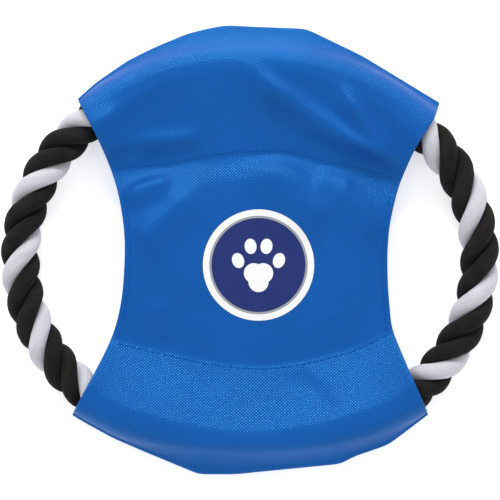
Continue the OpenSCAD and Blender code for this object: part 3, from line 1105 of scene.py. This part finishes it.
def sheet_columns():
    """The sheet's own columns: a hem turned to the inner side along each edge, and the face."""
    inset = HEM_GAP / row_width
    share = np.linspace(0, 1, MAIN_COLUMNS)[None]
    # Columns crowd a little towards the hems.
    share = share - 0.12 * np.sin(2 * np.pi * share) / (2 * np.pi)
    main_u = inset + (1 - 2 * inset) * share
    face = sample(sheet_rows, main_u)
    face_across = main_u * row_width
    face_down = sample(length_down, main_u)
    points, across, downs = [face], [face_across], [face_down]
    for left in (True, False):
        edge_u = inset if left else 1 - inset
        edge = sample(sheet_rows, edge_u)
        normal = unit(sample(sheet_normals, edge_u))
        inner = sample(sheet_rows, edge_u + (0.01 if left else -0.01))
        inward = unit(inner - edge)
        down = sample(length_down, edge_u)
        at = edge_u * row_width
        turns = np.radians([36, 72, 108, 144, 180])
        bend = [
            edge + HEM_GAP * ((np.cos(t) - 1) * normal - np.sin(t) * inward) for t in turns
        ]
        flap = []
        for reach in (1.0, 2.2, 3.6, HEM):
            share_in = (HEM_GAP + reach) / row_width
            u = share_in if left else 1 - share_in
            flap.append(sample(sheet_rows, u) - 2 * HEM_GAP * unit(sample(sheet_normals, u)))
        extra = np.concatenate(bend + flap, axis=1)
        far = np.array([HEM_GAP * t for t in turns] + [
            HEM_GAP * math.pi + r for r in (1.0, 2.2, 3.6, HEM)
        ])[None]
        extra_across = at - far if left else at + far
        extra_down = down + 0 * far
        if left:
            points.insert(0, extra[:, ::-1])
            across.insert(0, extra_across[:, ::-1])
            downs.insert(0, extra_down[:, ::-1])
        else:
            points.append(extra)
            across.append(extra_across)
            downs.append(extra_down)
    grid = np.concatenate(points, axis=1)
    flat = np.stack(
        [np.concatenate(across, axis=1) - row_width / 2, np.concatenate(downs, axis=1)], axis=-1
    )
    return grid, flat


def solid_sheet(name, grid, flat, thickness, material):
    """A closed sheet with this thickness from a grid of points on its middle."""
    normals = grid_normals(grid)
    rows, columns = grid.shape[:2]
    face, back = grid + normals * thickness / 2, grid - normals * thickness / 2
    points = np.concatenate([face.reshape(-1, 3), back.reshape(-1, 3)])
    index = np.arange(rows * columns).reshape(rows, columns)
    a, b, c, d = index[:-1, :-1], index[1:, :-1], index[1:, 1:], index[:-1, 1:]
    quads = np.stack([a, b, c, d], axis=-1).reshape(-1, 4)
    under = quads[:, ::-1] + rows * columns
    ring = np.concatenate([
        index[:-1, 0], index[-1, :-1], index[:0:-1, -1], index[0, :0:-1]
    ])
    after = np.roll(ring, -1)
    rim = np.stack([ring, ring + rows * columns, after + rows * columns, after], axis=-1)
    faces = np.concatenate([quads, under, rim]).tolist()
    uv = np.concatenate([flat.reshape(-1, 2), flat.reshape(-1, 2)])
    return make_mesh(name, points, faces, material, uv)


grid, flat = sheet_columns()
cover = solid_sheet("hemmed_cloth_cover", grid, flat, CLOTH, cloth_finish)
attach(cover, "cloth")
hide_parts("centre_panel", "top_pocket", "bottom_pocket")

# ---------------------------------------------------------------- stitches


def stitch_tree():
    """A row of lockstitches: at each pitch, one short run of thread that dips in at both ends."""
    sizes = [
        ("Pitch", "NodeSocketFloat"),
        ("Stitch Length", "NodeSocketFloat"),
        ("Thread Radius", "NodeSocketFloat"),
        ("Dip", "NodeSocketFloat"),
        ("Unevenness", "NodeSocketFloat"),
        ("Seed", "NodeSocketInt"),
        ("Finish", "NodeSocketMaterial"),
    ]
    tree, given, result = new_tree("lockstitch_row", sizes)
    line = put(tree, "GeometryNodeMeshToCurve", {0: given["Geometry"]})
    even = put(
        tree,
        "GeometryNodeResampleCurve",
        {0: line.outputs[0], "Length": given["Pitch"]},
        mode="LENGTH",
    )
    half = put(
        tree, "ShaderNodeMath", {0: given["Stitch Length"], 1: 0.5}, operation="MULTIPLY"
    )
    back_half = put(
        tree, "ShaderNodeMath", {0: half.outputs[0], 1: -1.0}, operation="MULTIPLY"
    )
    sunk = put(tree, "ShaderNodeMath", {0: given["Dip"], 1: -1.0}, operation="MULTIPLY")
    start = put(tree, "ShaderNodeCombineXYZ", {0: back_half.outputs[0], 2: sunk.outputs[0]})
    middle = put(tree, "ShaderNodeCombineXYZ", {2: given["Dip"]})
    end = put(tree, "ShaderNodeCombineXYZ", {0: half.outputs[0], 2: sunk.outputs[0]})
    arc = put(
        tree,
        "GeometryNodeCurveQuadraticBezier",
        {
            "Resolution": 6,
            "Start": start.outputs[0],
            "Middle": middle.outputs[0],
            "End": end.outputs[0],
        },
    )
    section = put(
        tree,
        "GeometryNodeCurvePrimitiveCircle",
        {"Resolution": 6, "Radius": given["Thread Radius"]},
    )
    run = put(
        tree,
        "GeometryNodeCurveToMesh",
        {0: arc.outputs[0], 1: section.outputs[0], "Fill Caps": True},
    )
    soft = put(tree, "GeometryNodeSetShadeSmooth", {0: run.outputs[0]})
    ahead = put(
        tree,
        "FunctionNodeAlignRotationToVector",
        {"Vector": put(tree, "GeometryNodeInputTangent").outputs[0]},
        axis="X",
    )
    size = put(
        tree,
        "FunctionNodeRandomValue",
        {2: 0.92, 3: 1.08, "Seed": given["Seed"]},
        data_type="FLOAT",
    )
    row = put(
        tree,
        "GeometryNodeInstanceOnPoints",
        {
            0: even.outputs[0],
            "Instance": soft.outputs[0],
            "Rotation": ahead.outputs[0],
            "Scale": size.outputs[1],
        },
    )
    wobble = put(
        tree,
        "FunctionNodeRandomValue",
        {0: (-1.0, -1.0, 0.0), 1: (1.0, 1.0, 0.0), "Seed": given["Seed"]},
        data_type="FLOAT_VECTOR",
    )
    shift = put(
        tree,
        "ShaderNodeVectorMath",
        {0: wobble.outputs[0], "Scale": given["Unevenness"]},
        operation="SCALE",
    )
    moved = put(
        tree, "GeometryNodeTranslateInstances", {0: row.outputs[0], "Translation": shift.outputs[0]}
    )
    real = put(tree, "GeometryNodeRealizeInstances", {0: moved.outputs[0]})
    painted = put(
        tree,
        "GeometryNodeSetMaterial",
        {0: real.outputs[0], "Material": given["Finish"]},
    )
    tree.links.new(painted.outputs[0], result.inputs[0])
    return tree


lockstitch_row = stitch_tree()
STITCH_IN = 2.5
THREAD = 0.5


# Distance from one stitch to the next, length of the thread that shows, and how unlike they are
STITCH_PITCH = 3.0
STITCH_LENGTH = 2.5
STITCH_UNEVENNESS = 0.1
# How far the middle of a stitch stands off its ends: up on the face, down on the back
STITCH_DIP = {"needle": 0.2, "bobbin": -0.2}


def thread_lift(side):
    """How far off the middle of the face layer a thread lies: the back has one more layer."""
    return CLOTH / 2 + 0.12 if side > 0 else CLOTH * 1.5 + 0.17


def seam_path(row, side):
    """A line of stitches along a seam, on the face (side 1) or the back (side -1)."""
    u = np.linspace(0.035, 0.965, 240)
    points, normals = along_row(sheet_rows, row, u), along_row(sheet_normals, row, u)
    return points + side * thread_lift(side) * unit(normals)


def along_row(field, row, u):
    at = np.linspace(0, 1, FINE)
    return np.stack([np.interp(u, at, field[row, :, i]) for i in range(3)], axis=-1)


def hem_path(left, side):
    """A line of stitches along a hem, on the face or the back."""
    rows = np.arange(SEAM_ROW_TOP + 3, SEAM_ROW_BOTTOM - 2)
    share = STITCH_IN / row_width
    u = share if left else 1 - share
    points = sample(sheet_rows, u)[rows, 0]
    normals = unit(sample(sheet_normals, u))[rows, 0]
    return points + side * thread_lift(side) * normals


rows_of_thread = [
    ("top_seam", seam_path(SEAM_ROW_TOP - 1, 1), seam_path(SEAM_ROW_TOP - 1, -1)),
    ("bottom_seam", seam_path(SEAM_ROW_BOTTOM + 1, 1), seam_path(SEAM_ROW_BOTTOM + 1, -1)),
    ("left_hem", hem_path(True, 1), hem_path(True, -1)),
    ("right_hem", hem_path(False, 1), hem_path(False, -1)),
]
for index, (place, needle, bobbin) in enumerate(rows_of_thread):
    for kind, path in (("needle", needle), ("bobbin", bobbin)):
        piece = run_tree(
            lockstitch_row,
            f"{place}_{kind}_stitches",
            path,
            {
                "Pitch": STITCH_PITCH * MM,
                "Stitch Length": STITCH_LENGTH * MM,
                "Thread Radius": THREAD / 2 * MM,
                "Dip": STITCH_DIP[kind] * MM,
                "Unevenness": STITCH_UNEVENNESS * MM,
                "Seed": 31 + index,
                "Finish": blue_thread,
            },
        )
        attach(piece, "cloth")
        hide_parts(f"{place}_{kind}_thread")

# ---------------------------------------------------------------- the printed badge

badge_low, badge_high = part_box("badge_border")
BADGE_X = (badge_low[0] + badge_high[0]) / 2 / MM
BADGE_Y = (badge_low[1] + badge_high[1]) / 2 / MM
BADGE_R = (badge_high[0] - badge_low[0]) / 2 / MM
LINE_R = BADGE_R - 3.0
FIELD_R = LINE_R - 1.0
PAW = 26.0
PRINT = 0.12

panel_rows = slice(SEAM_ROW_TOP, SEAM_ROW_BOTTOM + 1)


def panel_height(x, y):
    """Height of the panel's middle at plan points near the badge."""
    part = sheet_rows[panel_rows]
    flat_x, flat_y, flat_z = (part[..., i].ravel() for i in range(3))
    near = np.hypot(flat_x - BADGE_X, flat_y - BADGE_Y) < BADGE_R + 6
    flat_x, flat_y, flat_z = flat_x[near], flat_y[near], flat_z[near]
    out = np.zeros(len(x))
    for i in range(len(x)):
        weight = np.exp(-((flat_x - x[i]) ** 2 + (flat_y - y[i]) ** 2) / 0.9)
        out[i] = (weight * flat_z).sum() / weight.sum()
    return out


def film(name, rings, material, node_name, lift=0.0):
    """A thin closed film on the panel, from rings of plan points, inner to outer."""
    rows, columns = len(rings), len(rings[0])
    # A film with no hole starts from one point, where its first ring is welded together.
    whole = np.ptp(rings[0], axis=0).max() < 1e-6
    plan = np.concatenate(rings)
    z = panel_height(plan[:, 0], plan[:, 1]) + CLOTH / 2 + 0.02 + lift
    face = np.column_stack([plan, z + PRINT])
    back = np.column_stack([plan, z])
    count = rows * columns
    faces = []
    for i in range(rows - 1):
        for k in range(columns):
            a, b = i * columns + k, i * columns + (k + 1) % columns
            c, d = b + columns, a + columns
            faces.append((a, d, c, b))
            faces.append((b + count, c + count, d + count, a + count))
    for k in range(columns):
        a, b = (rows - 1) * columns + k, (rows - 1) * columns + (k + 1) % columns
        faces.append((b, a, a + count, b + count))
        if not whole:
            c, d = k, (k + 1) % columns
            faces.append((c, d, d + count, c + count))
    uv = np.concatenate([plan, plan])
    piece = make_mesh(name, np.concatenate([face, back]), faces, material, uv)
    if whole:
        shape = bmesh.new()
        shape.from_mesh(piece.data)
        bmesh.ops.remove_doubles(shape, verts=shape.verts, dist=1e-7)
        shape.to_mesh(piece.data)
        shape.free()
    # The film's cut edge is crisp.
    piece.data.set_sharp_from_angle(angle=math.radians(40))
    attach(piece, "cloth")
    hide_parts(node_name)
    return piece


def circle_points(radius, count=96, x=0.0, y=0.0):
    turn = np.linspace(0, 2 * np.pi, count, endpoint=False)
    return np.column_stack([
        BADGE_X + x + radius * np.cos(turn), BADGE_Y + y + radius * np.sin(turn)
    ])


badge = [
    film(
        "badge_border_print",
        [circle_points(r) for r in np.linspace(LINE_R + 0.05, BADGE_R, 4)],
        white_print,
        "badge_border",
    ),
    film(
        "badge_line_print",
        [circle_points(r) for r in np.linspace(FIELD_R + 0.05, LINE_R - 0.05, 3)],
        grey_print,
        "badge_line",
    ),
    film(
        "badge_field_print",
        [circle_points(r) for r in np.linspace(0, FIELD_R - 0.05, 20)],
        navy_print,
        "badge_field",
    ),
]

# The paw is a second pass of white ink on the navy: four toes and a three-lobed pad.
TOES = [(-0.36, 0.08), (-0.14, 0.33), (0.14, 0.33), (0.36, 0.08)]


def paw_rings():
    shapes = []
    for x, y in TOES:
        tall = circle_points(1.0, 48) - (BADGE_X, BADGE_Y)
        lean = math.radians(-x * 50)
        egg = tall * (0.105 * PAW, 0.135 * PAW)
        turned = np.column_stack([
            egg[:, 0] * math.cos(lean) - egg[:, 1] * math.sin(lean),
            egg[:, 0] * math.sin(lean) + egg[:, 1] * math.cos(lean),
        ])
        shapes.append(((x * PAW, y * PAW), turned))
    turn = np.linspace(0, 2 * np.pi, 96, endpoint=False)
    lobes = [(-90, 0.176), (35, 0.176), (145, 0.176)]
    reach = np.zeros(96)
    for direction, size in lobes:
        cx = 0.1 * PAW * math.cos(math.radians(direction))
        cy = 0.1 * PAW * math.sin(math.radians(direction))
        b = cx * np.cos(turn) + cy * np.sin(turn)
        reach = np.maximum(reach, b + np.sqrt(b * b - cx * cx - cy * cy + (size * PAW) ** 2))
    pad = np.column_stack([reach * np.cos(turn), reach * np.sin(turn)])
    shapes.append(((0.0, -0.2 * PAW), pad))
    return shapes


paw_parts = []
for number, ((x, y), outline) in enumerate(paw_rings()):
    rings = [outline * k + (BADGE_X + x, BADGE_Y + y) for k in np.linspace(0, 1, 6)]
    paw_parts.append(
        film(
            f"badge_paw_print_{number}", rings, white_print, "badge_paw", PRINT + 0.01
        )
    )
badge += paw_parts

# ---------------------------------------------------------------- floor, light, camera


def stage_board(tree, shader):
    # Matt white laminate board with a barely visible grain
    solid = put(tree, "ShaderNodeTexCoord").outputs["Object"]
    grain = put(tree, "ShaderNodeTexNoise", {"Vector": solid, "Scale": 60.0, "Detail": 2.0})
    tone = put(
        tree,
        "ShaderNodeMix",
        {0: grain.outputs[0], 6: linear("#fdfdfd"), 7: linear("#ffffff")},
        data_type="RGBA",
    )
    tree.links.new(tone.outputs[2], shader.inputs["Base Color"])
    shader.inputs["Roughness"].default_value = 0.9
    shader.inputs["Specular IOR Level"].default_value = 0.0
    # Lit from below a little, as a light table is
    shader.inputs["Emission Color"].default_value = (1, 1, 1, 1)
    shader.inputs["Emission Strength"].default_value = 0.42


low_z = float(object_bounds()[0][2]) / MM
FLOOR_REACH = 3000.0
floor_z = min(low_z, 0.0) - 0.1
floor = make_mesh(
    "studio_floor",
    [
        (-FLOOR_REACH, -FLOOR_REACH, floor_z),
        (FLOOR_REACH, -FLOOR_REACH, floor_z),
        (FLOOR_REACH, FLOOR_REACH, floor_z),
        (-FLOOR_REACH, FLOOR_REACH, floor_z),
    ],
    [(0, 1, 2, 3)],
    finish_material("white_laminate_board", stage_board),
    smooth=False,
)


def soft_light(name, place, aim, size, power):
    data = bpy.data.lights.new(name, "AREA")
    data.shape = "RECTANGLE"
    data.size, data.size_y = size
    data.energy = power
    light = bpy.data.objects.new(name, data)
    bpy.context.scene.collection.objects.link(light)
    light.location = place
    direction = np.array(aim, float) - np.array(place, float)
    turn = math.atan2(direction[1], direction[0])
    tip = math.atan2(-direction[2], math.hypot(direction[0], direction[1]))
    light.rotation_euler = (math.pi / 2 - tip, 0, turn - math.pi / 2)
    return light


soft_light("key_softbox", (-0.1, 1.5, 0.95), (0, 0, 0), (1.2, 0.3), 21.0)
soft_light("fill_softbox", (0.1, -1.6, 1.2), (0, 0, 0), (1.6, 0.9), 3.0)

world = bpy.data.worlds.new("studio_air")
bpy.context.scene.world = world
world.use_nodes = True
air = world.node_tree
air.nodes["Background"].inputs["Strength"].default_value = 0.8
air.nodes["Background"].inputs["Color"].default_value = (1, 1, 1, 1)
bpy.context.scene.view_settings.view_transform = "Standard"

camera_data = bpy.data.cameras.new("camera")
camera_data.type = "PERSP"
camera_data.lens = 200
camera_data.sensor_width = 36
camera_data.clip_start = 0.05
camera = bpy.data.objects.new("camera", camera_data)
bpy.context.scene.collection.objects.link(camera)
camera.location = (0, 0, MID_Z * MM + 1.275)
bpy.context.scene.camera = camera
